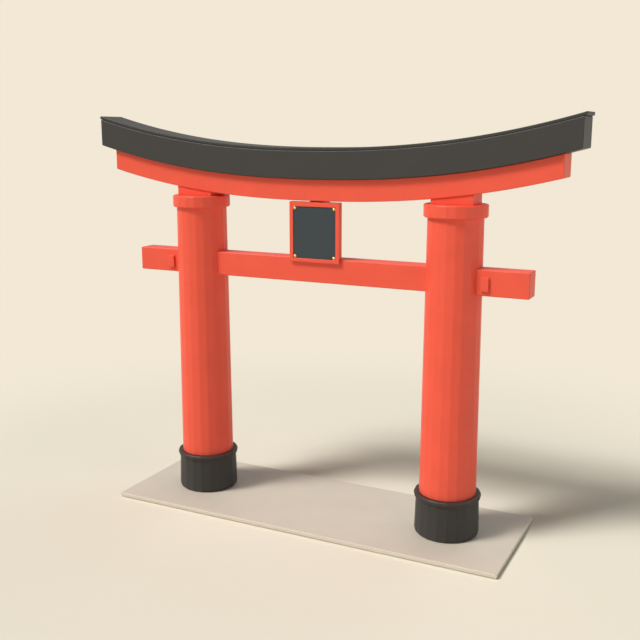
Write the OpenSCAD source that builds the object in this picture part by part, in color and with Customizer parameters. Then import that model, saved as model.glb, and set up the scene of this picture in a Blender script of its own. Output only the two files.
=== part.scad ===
// Shrine gate (torii) with curved double lintels, a centre plaque and a ground slab.
// Millimetres. X runs along the lintels, Y runs front (-) to back (+), Z is up.
// The origin is under the middle of the slab, on its underside.

/* [Overall layout] */
// distance between the two post centre lines
post_spacing = 3000; // [2400:50:3600]
// height of the underside of the capital rings above the ground
ring_height = 3377; // [2800:10:4000]

/* [Ground slab] */
// how far the slab runs past each post centre line
slab_reach = 750; // [450:10:1100]
// slab depth front to back
slab_depth = 1470; // [1100:10:1900]
// slab thickness
slab_thickness = 50; // [40:5:150]
// height of the recessed foot under the slab
slab_foot_height = 8; // [4:1:30]
// how far the foot is set back from the slab's edge
slab_foot_inset = 34; // [10:1:120]

/* [Posts] */
// post diameter at the slab
post_foot_d = 603; // [480:1:700]
// post diameter at the capital ring
post_head_d = 562; // [440:1:650]
// side of the square tenon on top of each post
post_tenon_w = 130; // [80:5:180]
// how far the post tenon enters the lower lintel
post_tenon_entry = 90; // [40:5:150]

/* [Post bases] */
// wall of the base sleeve at the slab
sleeve_foot_wall = 40; // [25:1:70]
// wall of the base sleeve under its rim
sleeve_head_wall = 32; // [20:1:60]
// height of the base sleeve
sleeve_height = 397; // [250:1:600]
// height of the rim on top of the sleeve
rim_height = 52; // [30:1:80]
// how far the rim stands out past the sleeve
rim_reach = 21; // [8:1:35]
// corner radius of the rim
rim_round = 14; // [4:1:15]

/* [Post heads] */
// height of the capital ring
ring_depth = 130; // [80:1:200]
// how far the capital ring stands out from the post
ring_reach = 40; // [15:1:80]
// corner radius of the capital ring
ring_round = 16; // [4:1:30]
// bearing block length along the lintel
block_length = 437; // [300:5:520]
// bearing block depth front to back
block_depth = 287; // [180:1:360]
// height of the bearing block on the post centre line
block_height = 72; // [60:1:140]

/* [Tie beam] */
// how far the tie beam runs past each post centre line
tie_reach = 791; // [500:5:1100]
// thickness of the tie beam front to back
tie_thickness = 222; // [140:1:300]
// height of the tie beam section
tie_height = 260; // [180:1:340]
// drop from the underside of the capital rings to the top of the tie beam
tie_drop = 493; // [350:1:750]
// gap between a post and the locking key beside it
key_stand = 30; // [2:1:80]
// width of a locking key at its driven end
key_head_w = 78; // [60:1:130]
// width of a locking key at its tip
key_tip_w = 70; // [50:1:120]
// height of a locking key
key_height = 140; // [90:1:180]
// how far the middle of a locking key lies below the middle of the beam
key_drop = 12; // [0:1:30]
// how far a locking key stands out of the beam, front and back
key_reach = 24; // [8:1:60]

/* [Lintels] */
// how far the lower lintel runs past each post centre line
lower_reach = 1062; // [750:1:1400]
// depth of the lower lintel front to back
lower_depth = 315; // [200:1:380]
// height of the lower lintel section
lower_height = 226; // [150:1:320]
// how far the upper lintel runs past each post centre line
upper_reach = 1225; // [850:1:1600]
// depth of the upper lintel front to back
upper_depth = 409; // [300:1:520]
// height of the upper lintel section
upper_height = 290; // [200:1:380]
// how far the cap board runs past each end of the upper lintel
cap_overhang = 21; // [0:1:80]
// depth of the cap board front to back
cap_depth = 376; // [280:1:520]
// thickness of the cap board
cap_thickness = 33; // [25:1:80]
// rise of the lintels from mid span to the ends of the upper lintel
lintel_rise = 332; // [150:1:500]
// how sharply the lintels turn up towards their ends
lintel_curve = 2.28; // [1.6:0.01:3.2]

/* [Strut and plaque] */
// width of the centre strut
strut_width = 165; // [110:1:260]
// depth of the centre strut front to back
strut_depth = 152; // [100:1:200]
// length of the stub tenons on the strut
strut_tenon = 45; // [20:1:80]
// width of the stub tenons on the strut
strut_tenon_w = 82; // [50:1:100]
// depth of the stub tenons front to back
strut_tenon_d = 76; // [50:1:95]
// plaque width
plaque_width = 585; // [420:1:700]
// gap between the top of the plaque and the lower lintel
plaque_gap = 13; // [4:1:80]
// plaque frame depth front to back
plaque_depth = 70; // [45:1:110]
// how far the plaque hangs below the top of the tie beam
plaque_drop = 40; // [10:1:80]
// width of the side members of the plaque frame
stile_width = 43; // [20:1:80]
// height of the top member of the plaque frame
top_rail_h = 49; // [20:1:90]
// height of the bottom member of the plaque frame
bottom_rail_h = 38; // [20:1:90]
// thickness of the plaque panel
panel_thickness = 30; // [15:1:40]
// how far the panel sits behind the front of its frame
panel_recess = 9; // [1:1:35]
// how far the panel edge enters the frame
panel_tongue = 12; // [4:1:18]
// diameter of a corner stud
stud_d = 38; // [16:1:60]
// height of a corner stud above the panel
stud_height = 14; // [6:1:28]

/* [Hidden] */
$fn = 96;
eps = 0.5;
half_spacing = post_spacing / 2;
slab_length = post_spacing + 2 * slab_reach;
post_run = ring_height - slab_thickness;
ring_top = ring_height + ring_depth;
post_slope = (post_foot_d - post_head_d) / 2 / post_run;
sleeve_top = slab_thickness + sleeve_height;
rim_top = sleeve_top + rim_height;
rim_r = post_r(sleeve_top) + sleeve_head_wall + rim_reach;
ring_r = post_head_d / 2 + ring_reach;
tie_top = ring_height - tie_drop;
tie_bottom = tie_top - tie_height;
tie_mid = tie_bottom + tie_height / 2;
upper_half = half_spacing + upper_reach;
lower_half = half_spacing + lower_reach;
lower_bottom = ring_top + block_height - curve_rise(half_spacing);
upper_bottom = lower_bottom + lower_height;
cap_bottom = upper_bottom + upper_height;
post_tenon_top = ring_top + block_height + post_tenon_entry;
cap_half = upper_half + cap_overhang;
curve_cells = 24;
spare_cells = 4;
least_run = 1;
rounding = 0.000001;
curve_step = upper_half / curve_cells;
strut_front = strut_depth / 2;
plaque_back = -strut_front;
plaque_front = plaque_back - plaque_depth;
plaque_bottom = tie_top - plaque_drop;
plaque_top = lower_bottom - plaque_gap;
panel_front = plaque_front + panel_recess;
panel_w = plaque_width - 2 * stile_width;
panel_bottom = plaque_bottom + bottom_rail_h;
panel_top = plaque_top - top_rail_h;
panel_h = panel_top - panel_bottom;
stud_x = panel_w / 2 - stud_d / 2;
stud_low = panel_bottom + stud_d / 2;
stud_high = panel_top - stud_d / 2;
key_bottom = tie_mid - key_drop - key_height / 2;
key_inner = half_spacing + post_r(key_bottom) + key_stand;
key_half = tie_thickness / 2 + key_reach;

vermilion = [0.86, 0.27, 0.18];
black_paint = [0.16, 0.15, 0.14];
stone_grey = [0.80, 0.76, 0.70];
panel_dark = [0.20, 0.23, 0.25];
stud_gold = [0.80, 0.62, 0.30];

// radius of a post at height z
function post_r(z) = post_foot_d / 2 - post_slope * (z - slab_thickness);

// true rise of the lintel curve at x
function curve_rise(x) = lintel_rise * pow(abs(x) / upper_half, lintel_curve);

// rise on the straight runs between the stations of the curve
function station_rise(x) =
    let (cell = floor(abs(x) / curve_step + rounding))
    let (part = abs(x) / curve_step - cell)
    curve_rise(cell * curve_step) * (1 - part) + curve_rise((cell + 1) * curve_step) * part;

// stations of the curve from x0 to x1, with both ends
function stations(x0, x1) = concat(
    [x0],
    [for (i = [-curve_cells - spare_cells : curve_cells + spare_cells])
        if (i * curve_step > x0 + least_run && i * curve_step < x1 - least_run) i * curve_step],
    [x1]
);

// outline of a curved timber in the X-Z plane
function band(x0, x1, low, high) = concat(
    [for (x = stations(x0, x1)) [x, low + station_rise(x)]],
    [for (x = reverse(stations(x0, x1))) [x, high + station_rise(x)]]
);

// outline with a level bottom and a curved top
function crowned(x0, x1, low, high) = concat(
    [[x0, low]],
    [[x1, low]],
    [for (x = reverse(stations(x0, x1))) [x, high + station_rise(x)]]
);

function reverse(list) = [for (i = [len(list) - 1 : -1 : 0]) list[i]];

// an X-Z outline given its depth front to back
module across(depth) {
    translate([0, depth / 2, 0])
        rotate([90, 0, 0])
            linear_extrude(height = depth)
                children();
}

module centred_box(size_x, size_y, z0, z1) {
    translate([-size_x / 2, -size_y / 2, z0])
        cube([size_x, size_y, z1 - z0]);
}

// ring section with rounded outer corners
module ring_section(inner, outer, z0, z1, round_r) {
    translate([inner, z0])
        square([outer - inner - round_r, z1 - z0]);
    translate([inner, z0 + round_r])
        square([outer - inner, z1 - z0 - 2 * round_r]);
    translate([outer - round_r, z0 + round_r])
        circle(r = round_r);
    translate([outer - round_r, z1 - round_r])
        circle(r = round_r);
}

module post_cone(z0, z1) {
    translate([0, 0, z0])
        cylinder(r1 = post_r(z0), r2 = post_r(z1), h = z1 - z0);
}

module base_slab() {
    color(stone_grey)
        union() {
            centred_box(slab_length, slab_depth, slab_foot_height, slab_thickness);
            centred_box(slab_length - 2 * slab_foot_inset, slab_depth - 2 * slab_foot_inset, 0, slab_foot_height + eps);
        }
}

module base_sleeve(side) {
    color(black_paint)
        translate([side * half_spacing, 0, 0])
            difference() {
                translate([0, 0, slab_thickness])
                    cylinder(
                        r1 = post_foot_d / 2 + sleeve_foot_wall,
                        r2 = post_r(sleeve_top) + sleeve_head_wall,
                        h = sleeve_height
                    );
                post_cone(slab_thickness - eps, sleeve_top + eps);
            }
}

module base_rim(side) {
    color(black_paint)
        translate([side * half_spacing, 0, 0])
            difference() {
                rotate_extrude()
                    ring_section(rim_r / 2, rim_r, sleeve_top, rim_top, rim_round);
                post_cone(sleeve_top - eps, rim_top + eps);
            }
}

module post(side) {
    color(vermilion)
        translate([side * half_spacing, 0, 0])
            difference() {
                union() {
                    post_cone(slab_thickness, ring_top);
                    centred_box(post_tenon_w, post_tenon_w, ring_top - eps, post_tenon_top);
                }
                centred_box(post_foot_d, tie_thickness, tie_bottom, tie_top);
            }
}

module capital_ring(side) {
    color(vermilion)
        translate([side * half_spacing, 0, 0])
            difference() {
                rotate_extrude()
                    ring_section(ring_r / 2, ring_r, ring_height, ring_top, ring_round);
                post_cone(ring_height - eps, ring_top + eps);
            }
}

module bearing_block(side) {
    x0 = side * half_spacing - block_length / 2;
    color(vermilion)
        difference() {
            across(block_depth)
                polygon(crowned(x0, x0 + block_length, ring_top, lower_bottom));
            translate([side * half_spacing, 0, 0])
                centred_box(post_tenon_w, post_tenon_w, ring_top - eps, post_tenon_top);
        }
}

module tie_beam() {
    color(vermilion)
        difference() {
            centred_box(post_spacing + 2 * tie_reach, tie_thickness, tie_bottom, tie_top);
            beam_key(-1);
            beam_key(1);
            plaque_housing();
            strut_tenon_at(tie_top - strut_tenon, tie_top + eps);
        }
}

module plaque_housing() {
    translate([-plaque_width / 2, -tie_thickness, plaque_bottom])
        cube([plaque_width, tie_thickness + plaque_back, plaque_drop + eps]);
}

module beam_key(side) {
    color(vermilion)
        translate([0, 0, key_bottom])
            linear_extrude(height = key_height)
                polygon([
                    [side * key_inner, -key_half],
                    [side * (key_inner + key_head_w), -key_half],
                    [side * (key_inner + key_tip_w), key_half],
                    [side * key_inner, key_half]
                ]);
}

module strut_tenon_at(z0, z1) {
    centred_box(strut_tenon_w, strut_tenon_d, z0, z1);
}

module centre_strut() {
    color(vermilion)
        union() {
            across(strut_depth)
                polygon(crowned(-strut_width / 2, strut_width / 2, tie_top, lower_bottom));
            strut_tenon_at(tie_top - strut_tenon, tie_top + eps);
            strut_tenon_at(lower_bottom - eps, lower_bottom + strut_tenon);
        }
}

module panel_blank() {
    translate([-panel_w / 2 - panel_tongue, panel_front, panel_bottom - panel_tongue])
        cube([panel_w + 2 * panel_tongue, panel_thickness, panel_h + 2 * panel_tongue]);
}

module plaque_rail(z0, rail_h) {
    color(vermilion)
        difference() {
            translate([-plaque_width / 2, plaque_front, z0])
                cube([plaque_width, plaque_depth, rail_h]);
            panel_blank();
        }
}

module plaque_stile(side) {
    color(vermilion)
        difference() {
            translate([side * (plaque_width - stile_width) / 2 - stile_width / 2, plaque_front, panel_bottom])
                cube([stile_width, plaque_depth, panel_h]);
            panel_blank();
        }
}

module plaque_panel() {
    color(panel_dark)
        panel_blank();
}

// a low turned dome standing on the panel
module corner_stud(x, z) {
    color(stud_gold)
        translate([x, panel_front, z])
            rotate([90, 0, 0])
                difference() {
                    translate([0, 0, stud_height - dome_r()])
                        sphere(r = dome_r());
                    translate([0, 0, -dome_r()])
                        cube(2 * dome_r(), center = true);
                }
}

// radius of the sphere that gives the stud its width and height
function dome_r() = (pow(stud_d / 2, 2) + pow(stud_height, 2)) / (2 * stud_height);

module lower_lintel() {
    color(vermilion)
        difference() {
            across(lower_depth)
                polygon(band(-lower_half, lower_half, lower_bottom, upper_bottom));
            for (side = [-1, 1])
                translate([side * half_spacing, 0, 0])
                    centred_box(post_tenon_w, post_tenon_w, ring_top - eps, post_tenon_top);
            strut_tenon_at(lower_bottom - eps, lower_bottom + strut_tenon);
        }
}

module upper_lintel() {
    color(black_paint)
        across(upper_depth)
            polygon(band(-upper_half, upper_half, upper_bottom, cap_bottom));
}

module lintel_cap() {
    color(black_paint)
        across(cap_depth)
            polygon(band(-cap_half, cap_half, cap_bottom, cap_bottom + cap_thickness));
}

base_slab();
base_sleeve(-1);  // left_base_sleeve
base_sleeve(1);  // right_base_sleeve
base_rim(-1);  // left_base_rim
base_rim(1);  // right_base_rim
post(-1);  // left_post
post(1);  // right_post
capital_ring(-1);  // left_capital_ring
capital_ring(1);  // right_capital_ring
bearing_block(-1);  // left_bearing_block
bearing_block(1);  // right_bearing_block
tie_beam();
beam_key(-1);  // left_beam_key
beam_key(1);  // right_beam_key
centre_strut();
plaque_rail(plaque_top - top_rail_h, top_rail_h);  // plaque_top_rail
plaque_rail(plaque_bottom, bottom_rail_h);  // plaque_bottom_rail
plaque_stile(-1);  // plaque_left_stile
plaque_stile(1);  // plaque_right_stile
plaque_panel();
corner_stud(-stud_x, stud_high);  // top_left_stud
corner_stud(stud_x, stud_high);  // top_right_stud
corner_stud(-stud_x, stud_low);  // bottom_left_stud
corner_stud(stud_x, stud_low);  // bottom_right_stud
lower_lintel();
upper_lintel();
lintel_cap();
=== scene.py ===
"""Looks for the shrine gate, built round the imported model."""
import math

import bmesh
import bpy
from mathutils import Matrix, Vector


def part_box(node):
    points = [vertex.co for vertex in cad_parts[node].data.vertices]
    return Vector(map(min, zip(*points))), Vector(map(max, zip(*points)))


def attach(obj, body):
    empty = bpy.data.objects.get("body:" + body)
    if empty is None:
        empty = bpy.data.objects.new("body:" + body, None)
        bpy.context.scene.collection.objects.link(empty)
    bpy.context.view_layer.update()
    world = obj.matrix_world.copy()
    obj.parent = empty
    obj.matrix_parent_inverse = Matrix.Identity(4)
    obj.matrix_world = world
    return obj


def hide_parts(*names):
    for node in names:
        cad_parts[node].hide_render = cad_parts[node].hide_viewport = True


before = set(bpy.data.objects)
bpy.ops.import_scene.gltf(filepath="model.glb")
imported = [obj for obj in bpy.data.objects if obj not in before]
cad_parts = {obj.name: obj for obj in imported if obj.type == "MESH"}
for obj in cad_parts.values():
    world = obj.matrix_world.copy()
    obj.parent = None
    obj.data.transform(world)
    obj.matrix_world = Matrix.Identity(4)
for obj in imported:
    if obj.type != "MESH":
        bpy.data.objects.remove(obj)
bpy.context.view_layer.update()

SCENE = bpy.context.scene
ROOT = "root"
SIDES = ("left", "right")

# --- sizes that a box alone doesn't give, in metres ---------------------------
SLAB_FOOT_H = 0.008
SLAB_FOOT_INSET = 0.034
SLAB_LOW_ARRIS = 0.003
SLAB_ARRIS = 0.005

POST_SIDES = 20
POST_HEAD_R = 0.281
FLAT_ARRIS = 0.010
SLEEVE_HEAD_WALL = 0.032
SLEEVE_FOOT_WALL = 0.040
SLEEVE_FOOT_ARC = 0.034
SLEEVE_TOP_ARRIS = 0.004
RIM_ARCS = (0.016, 0.020)
CAPITAL_ARCS = (0.014, 0.014)

RISE = 0.332
RISE_POWER = 2.28
SPAN_HALF = 2.725
LINTEL_ARRIS = 0.009
CAP_ARRIS = 0.006
BLOCK_ARRIS = 0.005

TIE_ARRIS = 0.010
KEY_ARRIS = 0.006
KEY_TAPER = 0.008
STRUT_ARRIS = 0.005
STRUT_LAP = 0.02
PLAQUE_ARRIS = 0.004
PANEL_ARRIS = 0.002

# The dome of a stud, as shares of its radius and of its height.
STUD_PROFILE = ((1.0, 0.0), (1.0, 0.15), (0.92, 0.35), (0.78, 0.60), (0.55, 0.82), (0.28, 0.95), (0.06, 1.0))

# --- how finely the round stretches are cut ------------------------------------
BEVEL_STEPS = 3
FLAT_STEPS = 3
RING_STEPS = 5
ARC_STEPS = 6
STUD_SIDES = 24
LINTEL_STATIONS = 96
BLOCK_STATIONS = 12
TIE_STATIONS = 8


def rise(x):
    """Height of the lintel curve above mid span."""
    return RISE * (abs(x) / SPAN_HALF) ** RISE_POWER


# --- mesh helpers ------------------------------------------------------------
def skin(loops, hollow=False):
    """Skins rings of points, each with the same count; a hollow piece joins its last ring to its first."""
    bm = bmesh.new()
    rings = [[bm.verts.new(p) for p in loop] for loop in loops]
    count = len(rings[0])
    pairs = list(zip(rings, rings[1:]))
    if hollow:
        pairs.append((rings[-1], rings[0]))
    for a, b in pairs:
        for i in range(count):
            j = (i + 1) % count
            bm.faces.new((a[i], a[j], b[j], b[i]))
    if not hollow:
        bm.faces.new(list(reversed(rings[0])))
        bm.faces.new(rings[-1])
    return bm


def make_object(name, bm, material, replaces, bevel=0.0):
    """Turns a mesh into a finished piece; its sharp edges are eased by bevel, where there is one."""
    bmesh.ops.recalc_face_normals(bm, faces=bm.faces)
    mesh = bpy.data.meshes.new(name)
    bm.to_mesh(mesh)
    bm.free()
    obj = bpy.data.objects.new(name, mesh)
    SCENE.collection.objects.link(obj)
    mesh.materials.append(material)
    for poly in mesh.polygons:
        poly.use_smooth = True
    if bevel:
        mod = obj.modifiers.new("arris", "BEVEL")
        mod.width = bevel
        mod.segments = BEVEL_STEPS
        mod.limit_method = "ANGLE"
        mod.angle_limit = math.radians(35)
    else:
        mesh.set_sharp_from_angle(angle=math.radians(50))
    mod = obj.modifiers.new("normals", "WEIGHTED_NORMAL")
    mod.mode = "FACE_AREA"
    mod.weight = 90
    mod.keep_sharp = True
    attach(obj, ROOT)
    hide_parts(replaces)
    return obj


def timber_mesh(lo, hi, bottom, top, stations=1):
    """A timber along X, cut into even pieces; bottom and top give its heights at x."""
    loops = []
    for i in range(stations + 1):
        x = lo[0] + (hi[0] - lo[0]) * i / stations
        loops.append([(x, lo[1], bottom(x)), (x, hi[1], bottom(x)), (x, hi[1], top(x)), (x, lo[1], top(x))])
    return skin(loops)


def box_mesh(lo, hi, stations=1):
    return timber_mesh(lo, hi, lambda x: lo[2], lambda x: hi[2], stations)


def quarter(centre_r, centre_z, radius, start, steps):
    """A quarter turn of a profile from the angle start, as (radius, z) points."""
    angles = [start + math.pi / 2 * k / steps for k in range(steps + 1)]
    return [(centre_r + radius * math.cos(a), centre_z + radius * math.sin(a)) for a in angles]


def ring_profile(r_low, r_high, r_out, z0, z1, low, high):
    """Profile of a ring from its inner bottom, out and up to its inner top; low and high ease its outside."""
    return [
        (r_low, z0),
        *quarter(r_out - low, z0 + low, low, -math.pi / 2, RING_STEPS),
        *quarter(r_out - high, z1 - high, high, 0.0, RING_STEPS),
        (r_high, z1),
    ]


def flat_ring(radius):
    """Plan of a planed piece: POST_SIDES flats, with the corners between them eased by small arcs."""
    half = math.pi / POST_SIDES
    ease = FLAT_ARRIS / math.tan(half)
    middle = radius - ease / math.cos(half)
    points = []
    for i in range(POST_SIDES):
        a = 2 * math.pi * i / POST_SIDES
        for k in range(FLAT_STEPS + 1):
            b = a - half + 2 * half * k / FLAT_STEPS
            x = middle * math.cos(a) + ease * math.cos(b)
            y = middle * math.sin(a) + ease * math.sin(b)
            points.append((x, y))
    return points


def planed_turn(name, centre, profile, material, replaces, hollow=True):
    """A many-sided upright piece: profile is (radius, z) from the bottom up and round."""
    loops = [[(centre[0] + x, centre[1] + y, z) for x, y in flat_ring(r)] for r, z in profile]
    return make_object(name, skin(loops, hollow), material, replaces)


# --- materials ---------------------------------------------------------------
def new_material(name):
    mat = bpy.data.materials.new(name)
    mat.use_nodes = True
    tree = mat.node_tree
    return mat, tree, tree.nodes["Principled BSDF"]


def node(tree, kind, **values):
    """Adds a node; each value goes to the socket of that name, or else to the node's own setting."""
    n = tree.nodes.new(kind)
    for key, value in values.items():
        if key in n.inputs:
            n.inputs[key].default_value = value
        else:
            setattr(n, key, value)
    return n


def noise(tree, vector, **values):
    n = node(tree, "ShaderNodeTexNoise", **values)
    tree.links.new(vector, n.inputs["Vector"])
    return n.outputs["Fac"]


def blend(tree, first, second, share):
    """Mixes two values: share of the first, and the rest of the second."""
    rest = node(tree, "ShaderNodeMath", operation="MULTIPLY")
    rest.inputs[1].default_value = 1 - share
    tree.links.new(second, rest.inputs[0])
    total = node(tree, "ShaderNodeMath", operation="MULTIPLY_ADD")
    total.inputs[1].default_value = share
    tree.links.new(first, total.inputs[0])
    tree.links.new(rest.outputs["Value"], total.inputs[2])
    return total.outputs["Value"]


def tint(tree, shader, value, dark, light, start=0.0, end=1.0):
    """Colours the surface from dark to light as value goes from start to end."""
    ramp = node(tree, "ShaderNodeValToRGB")
    first, last = ramp.color_ramp.elements
    first.position = start
    last.position = end
    first.color = (*dark, 1)
    last.color = (*light, 1)
    tree.links.new(value, ramp.inputs["Fac"])
    tree.links.new(ramp.outputs["Color"], shader.inputs["Base Color"])


def relief(tree, shader, height, strength, distance):
    bump = node(tree, "ShaderNodeBump", Strength=strength, Distance=distance)
    tree.links.new(height, bump.inputs["Height"])
    tree.links.new(bump.outputs["Normal"], shader.inputs["Normal"])


def shaded(base, share):
    """The base colour made lighter, or darker below 1."""
    return [min(1.0, c * share) for c in base]


def painted_timber(name, base, along, rough=0.45):
    """Paint over planed timber: faint grain along one axis, soft mottling and brush marks."""
    mat, tree, shader = new_material(name)
    link = tree.links.new
    coords = node(tree, "ShaderNodeTexCoord")
    stretch = node(tree, "ShaderNodeMapping")
    stretch.inputs["Scale"].default_value = [1.2 if axis == along else 26.0 for axis in "XYZ"]
    link(coords.outputs["Object"], stretch.inputs["Vector"])
    fibres = noise(tree, stretch.outputs["Vector"], Scale=4.0, Detail=6.0, Roughness=0.62, Distortion=0.35)
    mottle = noise(tree, coords.outputs["Object"], Scale=3.5, Detail=4.0, Roughness=0.55)
    tint(tree, shader, blend(tree, fibres, mottle, 0.25), shaded(base, 0.95), shaded(base, 1.05), 0.30, 0.72)
    gloss = node(tree, "ShaderNodeMapRange")
    gloss.inputs["To Min"].default_value = rough - 0.06
    gloss.inputs["To Max"].default_value = rough + 0.08
    link(fibres, gloss.inputs["Value"])
    link(gloss.outputs["Result"], shader.inputs["Roughness"])
    shader.inputs["Specular IOR Level"].default_value = 0.42
    relief(tree, shader, fibres, 0.35, 0.0006)
    return mat


def stone_material(name, base):
    """Honed stone: fine grains over wide pale clouds."""
    mat, tree, shader = new_material(name)
    coords = node(tree, "ShaderNodeTexCoord")
    grains = noise(tree, coords.outputs["Object"], Scale=180.0, Detail=4.0, Roughness=0.7)
    clouds = noise(tree, coords.outputs["Object"], Scale=2.2, Detail=5.0, Roughness=0.6)
    tint(tree, shader, blend(tree, grains, clouds, 0.45), shaded(base, 0.93), shaded(base, 1.06), 0.32, 0.68)
    shader.inputs["Roughness"].default_value = 0.6
    shader.inputs["IOR"].default_value = 2.0
    shader.inputs["Specular IOR Level"].default_value = 1.0
    relief(tree, shader, grains, 0.3, 0.0008)
    return mat


def gilt_material(name, dark, light):
    """Gilt metal with small darker spots."""
    mat, tree, shader = new_material(name)
    coords = node(tree, "ShaderNodeTexCoord")
    spots = noise(tree, coords.outputs["Object"], Scale=90.0, Detail=3.0, Roughness=0.6)
    tint(tree, shader, spots, dark, light)
    shader.inputs["Metallic"].default_value = 0.8
    shader.inputs["Roughness"].default_value = 0.38
    relief(tree, shader, spots, 0.25, 0.0005)
    return mat


RED = (0.82, 0.091, 0.046)
BLACK = (0.034, 0.0315, 0.027)
SLEEVE_BLACK = (0.026, 0.0235, 0.020)
# Black paint of the sleeve rims, tinted red as a painted reflection of the red post above them.
RIM_BLACK_PAINTED_RED_REFLECTION = (0.034, 0.0205, 0.0165)
PANEL_BLACK = (0.029, 0.040, 0.048)
STONE = (0.580, 0.500, 0.390)
GILT = ((0.62, 0.36, 0.10), (0.86, 0.58, 0.22))

red_upright = painted_timber("red_paint_upright", RED, "Z")
red_level = painted_timber("red_paint_level", RED, "X")
red_cross = painted_timber("red_paint_cross", RED, "Y")
black_level = painted_timber("black_paint_level", BLACK, "X", rough=0.5)
black_sleeve = painted_timber("black_paint_sleeve", SLEEVE_BLACK, "Z", rough=0.5)
# The rims' material: black paint with a painted red reflection of the post.
black_rim_painted_reflection = painted_timber("black_paint_rim_painted_reflection", RIM_BLACK_PAINTED_RED_REFLECTION, "Z", rough=0.5)
panel_paint = painted_timber("panel_lacquer", PANEL_BLACK, "Z", rough=0.5)
stone = stone_material("honed_stone", STONE)
gilt = gilt_material("gilt_stud", *GILT)


# --- the gate ----------------------------------------------------------------
# Heights that several pieces share; those of the lintels are at mid span.
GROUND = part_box("base_slab")[1][2]
TIE_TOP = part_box("tie_beam")[1][2]
LOWER_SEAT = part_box("lower_lintel")[0][2]
UPPER_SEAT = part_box("upper_lintel")[0][2]
CAP_LO, CAP_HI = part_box("lintel_cap")
CAP_SEAT = CAP_LO[2]
CAP_CROWN = CAP_HI[2] - rise(CAP_HI[0])


def build_slab():
    """A stone slab over a low foot that is set back all round."""
    lo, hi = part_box("base_slab")
    foot_top = lo[2] + SLAB_FOOT_H
    profile = [
        (-SLAB_FOOT_INSET, lo[2]),
        (-SLAB_FOOT_INSET, foot_top),
        (-SLAB_LOW_ARRIS, foot_top),
        (0.0, foot_top + SLAB_LOW_ARRIS),
        *quarter(-SLAB_ARRIS, hi[2] - SLAB_ARRIS, SLAB_ARRIS, 0.0, ARC_STEPS),
    ]
    corners = ((-1, -1), (1, -1), (1, 1), (-1, 1))
    loops = [[(sx * (hi[0] + out), sy * (hi[1] + out), z) for sx, sy in corners] for out, z in profile]
    make_object("stone_slab", skin(loops), stone, "base_slab")


def post_shape(side):
    """Centre of a post in plan, and a function that gives its radius at a height."""
    lo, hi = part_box(f"{side}_post")
    ring_lo, ring_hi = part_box(f"{side}_capital_ring")
    foot_r = (hi[0] - lo[0]) / 2
    slope = (foot_r - POST_HEAD_R) / (ring_lo[2] - GROUND)
    return ((lo[0] + hi[0]) / 2, 0.0), lambda z: foot_r - slope * (z - GROUND)


def build_round_post(side, centre, post_r):
    """The post's shaft, from the slab up to its block."""
    ring_lo, ring_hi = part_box(f"{side}_capital_ring")
    profile = [(post_r(z), z) for z in (GROUND, ring_hi[2])]
    planed_turn(
        f"{side}_round_post", centre, profile, red_upright, f"{side}_post", hollow=False,
    )


def build_sleeve(side, centre, post_r):
    """The black sleeve at the foot, wider at the bottom and rounded where it meets the slab."""
    lo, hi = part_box(f"{side}_base_sleeve")
    foot, top = lo[2], hi[2]
    foot_out = post_r(GROUND) + SLEEVE_FOOT_WALL
    head_out = post_r(top) + SLEEVE_HEAD_WALL
    arc = SLEEVE_FOOT_ARC
    profile = [
        (post_r(foot), foot),
        *quarter(foot_out - arc, foot + arc, arc, -math.pi / 2, ARC_STEPS),
        (head_out, top - SLEEVE_TOP_ARRIS),
        (head_out - SLEEVE_TOP_ARRIS, top),
        (post_r(top), top),
    ]
    planed_turn(f"{side}_sleeve", centre, profile, black_sleeve, f"{side}_base_sleeve")


def build_ring(name, replaced, centre, post_r, arcs, material):
    """A ring round a post, its outside eased by the lower and the upper of arcs."""
    lo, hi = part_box(replaced)
    profile = ring_profile(post_r(lo[2]), post_r(hi[2]), (hi[0] - lo[0]) / 2, lo[2], hi[2], *arcs)
    planed_turn(name, centre, profile, material, replaced)


def build_lintel(name, replaced, low, high, material, arris):
    """A beam along the lintel curve; low and high are its heights at mid span."""
    lo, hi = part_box(replaced)
    bm = timber_mesh(lo, hi, lambda x: low + rise(x), lambda x: high + rise(x), LINTEL_STATIONS)
    make_object(name, bm, material, replaced, arris)


def build_block(side):
    """The block on a post: level below, and cut to the lintel curve on top."""
    lo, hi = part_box(f"{side}_bearing_block")
    bm = timber_mesh(lo, hi, lambda x: lo[2], lambda x: LOWER_SEAT + rise(x), BLOCK_STATIONS)
    make_object(f"{side}_block", bm, red_level, f"{side}_bearing_block", BLOCK_ARRIS)


def build_tie_beam():
    bm = box_mesh(*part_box("tie_beam"), TIE_STATIONS)
    make_object("long_tie_beam", bm, red_level, "tie_beam", TIE_ARRIS)


def build_key(side):
    """A locking key, whose outer face narrows towards the back."""
    lo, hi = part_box(f"{side}_beam_key")
    sign = -1 if side == "left" else 1
    inner, outer = sorted((abs(lo[0]), abs(hi[0])))
    loops = []
    for y, out in ((lo[1], outer), (hi[1], outer - KEY_TAPER)):
        corners = ((inner, lo[2]), (out, lo[2]), (out, hi[2]), (inner, hi[2]))
        loops.append([(sign * x, y, z) for x, z in corners])
    make_object(f"{side}_locking_key", skin(loops), red_cross, f"{side}_beam_key", KEY_ARRIS)


def build_strut():
    """The short strut behind the plaque, a little let into the timbers above and below."""
    lo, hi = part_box("centre_strut")
    bm = box_mesh((lo[0], lo[1], TIE_TOP - STRUT_LAP), (hi[0], hi[1], LOWER_SEAT + STRUT_LAP))
    make_object("plaque_strut", bm, red_upright, "centre_strut", STRUT_ARRIS)


def build_frame_member(member, material):
    bm = box_mesh(*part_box(f"plaque_{member}"))
    make_object(f"frame_{member}", bm, material, f"plaque_{member}", PLAQUE_ARRIS)


def build_panel():
    bm = box_mesh(*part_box("plaque_panel"))
    make_object("dark_plaque_panel", bm, panel_paint, "plaque_panel", PANEL_ARRIS)


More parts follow.
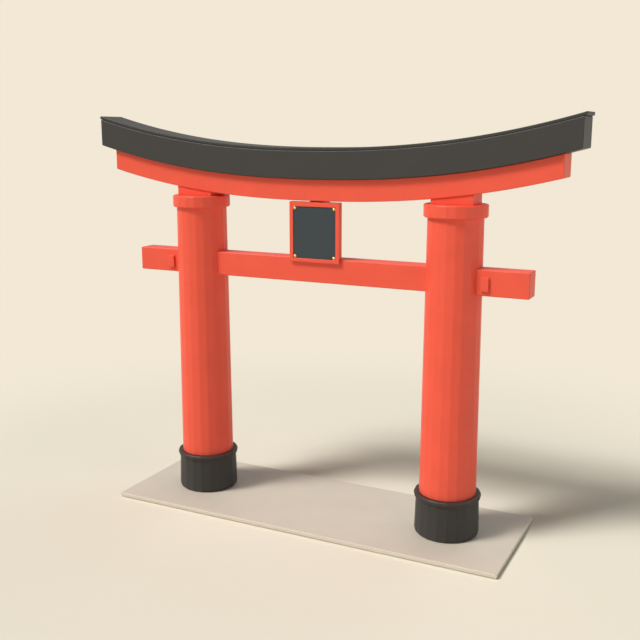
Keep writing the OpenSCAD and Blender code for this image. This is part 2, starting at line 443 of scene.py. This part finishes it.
def build_stud(place):
    """A domed stud, its flat side on the frame and its crown to the front."""
    lo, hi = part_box(f"{place}_stud")
    radius, height = (hi[0] - lo[0]) / 2, hi[1] - lo[1]
    cx, cz = (lo[0] + hi[0]) / 2, (lo[2] + hi[2]) / 2
    angles = [2 * math.pi * k / STUD_SIDES for k in range(STUD_SIDES)]
    loops = [
        [(cx + r * radius * math.cos(a), hi[1] - h * height, cz + r * radius * math.sin(a)) for a in angles]
        for r, h in STUD_PROFILE
    ]
    make_object(f"{place}_dome", skin(loops), gilt, f"{place}_stud")


build_slab()
for side in SIDES:
    centre, post_r = post_shape(side)
    build_round_post(side, centre, post_r)
    build_sleeve(side, centre, post_r)
    build_ring(
        f"{side}_sleeve_rim", f"{side}_base_rim", centre, post_r, RIM_ARCS, black_rim_painted_reflection,
    )
    build_ring(
        f"{side}_capital", f"{side}_capital_ring", centre, post_r, CAPITAL_ARCS, red_upright,
    )
build_lintel(
    "lower_curved_lintel", "lower_lintel", LOWER_SEAT, UPPER_SEAT, red_level, LINTEL_ARRIS,
)
build_lintel(
    "upper_curved_lintel", "upper_lintel", UPPER_SEAT, CAP_SEAT, black_level, LINTEL_ARRIS,
)
build_lintel(
    "curved_cap_board", "lintel_cap", CAP_SEAT, CAP_CROWN, black_level, CAP_ARRIS,
)
for side in SIDES:
    build_block(side)
build_tie_beam()
for side in SIDES:
    build_key(side)
build_strut()
for rail in ("top_rail", "bottom_rail"):
    build_frame_member(rail, red_level)
for stile in ("left_stile", "right_stile"):
    build_frame_member(stile, red_upright)
build_panel()
for place in ("top_left", "top_right", "bottom_left", "bottom_right"):
    build_stud(place)

# --- floor, light and camera --------------------------------------------------
CREAM = (0.888, 0.807, 0.665)
FLOOR_PAINT = (0.806, 0.748, 0.611)
FLOOR_RADIUS = 160
FADE_START = 4.0
FADE_END = 8.0
AMBIENT = 0.03
SHEEN = 0.55
KEY_TOWARDS = (0.457, 0.461, -0.760)
CAMERA_PLACE = (4.2224, -8.4894, 4.1799)
CAMERA_TILT = 0.20632
CAMERA_TURN = 0.46159


def floor_material():
    """Matt pale floor that fades into the backdrop's own cream away from the gate."""
    mat, tree, shader = new_material("pale_floor")
    link = tree.links.new
    shader.inputs["Base Color"].default_value = (*FLOOR_PAINT, 1)
    shader.inputs["Roughness"].default_value = 0.9
    shader.inputs["Specular IOR Level"].default_value = 0.0
    coords = node(tree, "ShaderNodeTexCoord")
    reach = node(tree, "ShaderNodeVectorMath", operation="LENGTH")
    link(coords.outputs["Object"], reach.inputs[0])
    fade = node(tree, "ShaderNodeMapRange", interpolation_type="SMOOTHSTEP")
    fade.inputs["From Min"].default_value = FADE_START
    fade.inputs["From Max"].default_value = FADE_END
    link(reach.outputs["Value"], fade.inputs["Value"])
    glow = node(tree, "ShaderNodeEmission", Color=(*CREAM, 1), Strength=1.0)
    mix = node(tree, "ShaderNodeMixShader")
    link(fade.outputs["Result"], mix.inputs[0])
    link(shader.outputs[0], mix.inputs[1])
    link(glow.outputs[0], mix.inputs[2])
    link(mix.outputs[0], tree.nodes["Material Output"].inputs["Surface"])
    return mat


def build_floor():
    bm = bmesh.new()
    bmesh.ops.create_circle(bm, cap_ends=True, segments=96, radius=FLOOR_RADIUS)
    mesh = bpy.data.meshes.new("floor")
    bm.to_mesh(mesh)
    bm.free()
    floor = bpy.data.objects.new("floor", mesh)
    SCENE.collection.objects.link(floor)
    mesh.materials.append(floor_material())


def build_world():
    """A cream backdrop for the camera, faint ambient light, and a soft gleam in the reflections."""
    world = bpy.data.worlds.new("studio")
    SCENE.world = world
    world.use_nodes = True
    tree = world.node_tree
    link = tree.links.new
    backdrop = tree.nodes["Background"]
    backdrop.inputs["Color"].default_value = (*CREAM, 1)
    backdrop.inputs["Strength"].default_value = 1.0
    ambient = node(tree, "ShaderNodeBackground", Color=(0.90, 0.98, 1.0, 1), Strength=AMBIENT)
    gleam = node(tree, "ShaderNodeBackground", Color=(1.0, 0.97, 0.93, 1), Strength=SHEEN)
    rays = node(tree, "ShaderNodeLightPath")
    lift = node(tree, "ShaderNodeMixShader")
    link(rays.outputs["Is Glossy Ray"], lift.inputs[0])
    link(ambient.outputs[0], lift.inputs[1])
    link(gleam.outputs[0], lift.inputs[2])
    choose = node(tree, "ShaderNodeMixShader")
    link(rays.outputs["Is Camera Ray"], choose.inputs[0])
    link(lift.outputs[0], choose.inputs[1])
    link(backdrop.outputs[0], choose.inputs[2])
    link(choose.outputs[0], tree.nodes["World Output"].inputs["Surface"])


def add_light(name, energy, spread, towards, color=(1, 1, 1)):
    """A broad distant light: spread is its width in degrees, towards the way its light travels."""
    data = bpy.data.lights.new(name, "SUN")
    data.energy = energy
    data.angle = math.radians(spread)
    data.color = color
    lamp = bpy.data.objects.new(name, data)
    SCENE.collection.objects.link(lamp)
    lamp.rotation_euler = Vector(towards).to_track_quat("-Z", "Y").to_euler()


def place_camera():
    data = bpy.data.cameras.new("camera")
    data.lens = 50.0
    data.sensor_width = 36.0
    data.clip_end = 500
    camera = bpy.data.objects.new("camera", data)
    SCENE.collection.objects.link(camera)
    camera.location = CAMERA_PLACE
    camera.rotation_euler = (math.pi / 2 - CAMERA_TILT, 0.0, CAMERA_TURN)
    SCENE.camera = camera


build_floor()
build_world()
add_light("key", 2.03, 15, KEY_TOWARDS)
add_light("key_halo", 1.35, 28, KEY_TOWARDS)
add_light("fill", 0.50, 55, (-0.37, -0.66, -0.65), (0.92, 1.0, 1.0))
add_light("side", 0.98, 50, (-0.98, 0.15, -0.08))
add_light("front", 0.30, 60, (0.15, 0.94, -0.24))
place_camera()
SCENE.view_settings.view_transform = "Standard"
